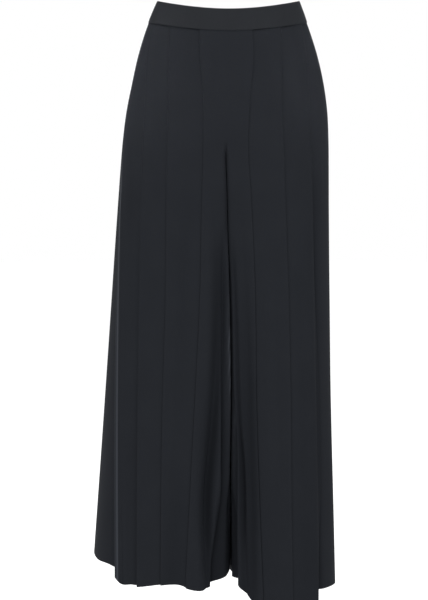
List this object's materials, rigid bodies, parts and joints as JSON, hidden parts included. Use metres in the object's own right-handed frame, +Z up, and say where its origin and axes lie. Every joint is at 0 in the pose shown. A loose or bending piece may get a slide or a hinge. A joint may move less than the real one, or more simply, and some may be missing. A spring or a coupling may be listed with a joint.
{
  "type": "palazzo pants",
  "caption": "High-waisted palazzo pants in dark crepe, with long knife pleats from the waistband to wide hems, filled out as worn, with a concealed zip at the back.",
  "frame": {"origin": "middle of the waist opening, half way down the waistband at the side seams", "axes": "+Z up along the wearer, front facing -Y, the wearer's left on +X"},
  "size_m": [0.4481, 0.3155, 1.0769],
  "materials": {
    "charcoal_crepe": "matt crepe with a soft sheen at its edges",
    "waistband_crepe": "the same crepe, pressed flat over a stiffening",
    "zip_metal": "black satin paint"
  },
  "bodies": {
    "trousers": {"waistband_front": "waistband_crepe", "waistband_back_left": "waistband_crepe", "waistband_back_right": "waistband_crepe", "front_leg_left": "charcoal_crepe", "front_leg_right": "charcoal_crepe", "back_leg_left": "charcoal_crepe", "back_leg_right": "charcoal_crepe", "zip_slider": "zip_metal"},
    "pull": {"zip_pull": "zip_metal"}
  },
  "joints": [
    {"name": "pull_hinge", "type": "hinge", "parent": "trousers", "child": "pull", "pos_m": [0, 0.09715, -0.00606], "axis": [1, 0, 0], "range_deg": [0, 120]}
  ]
}
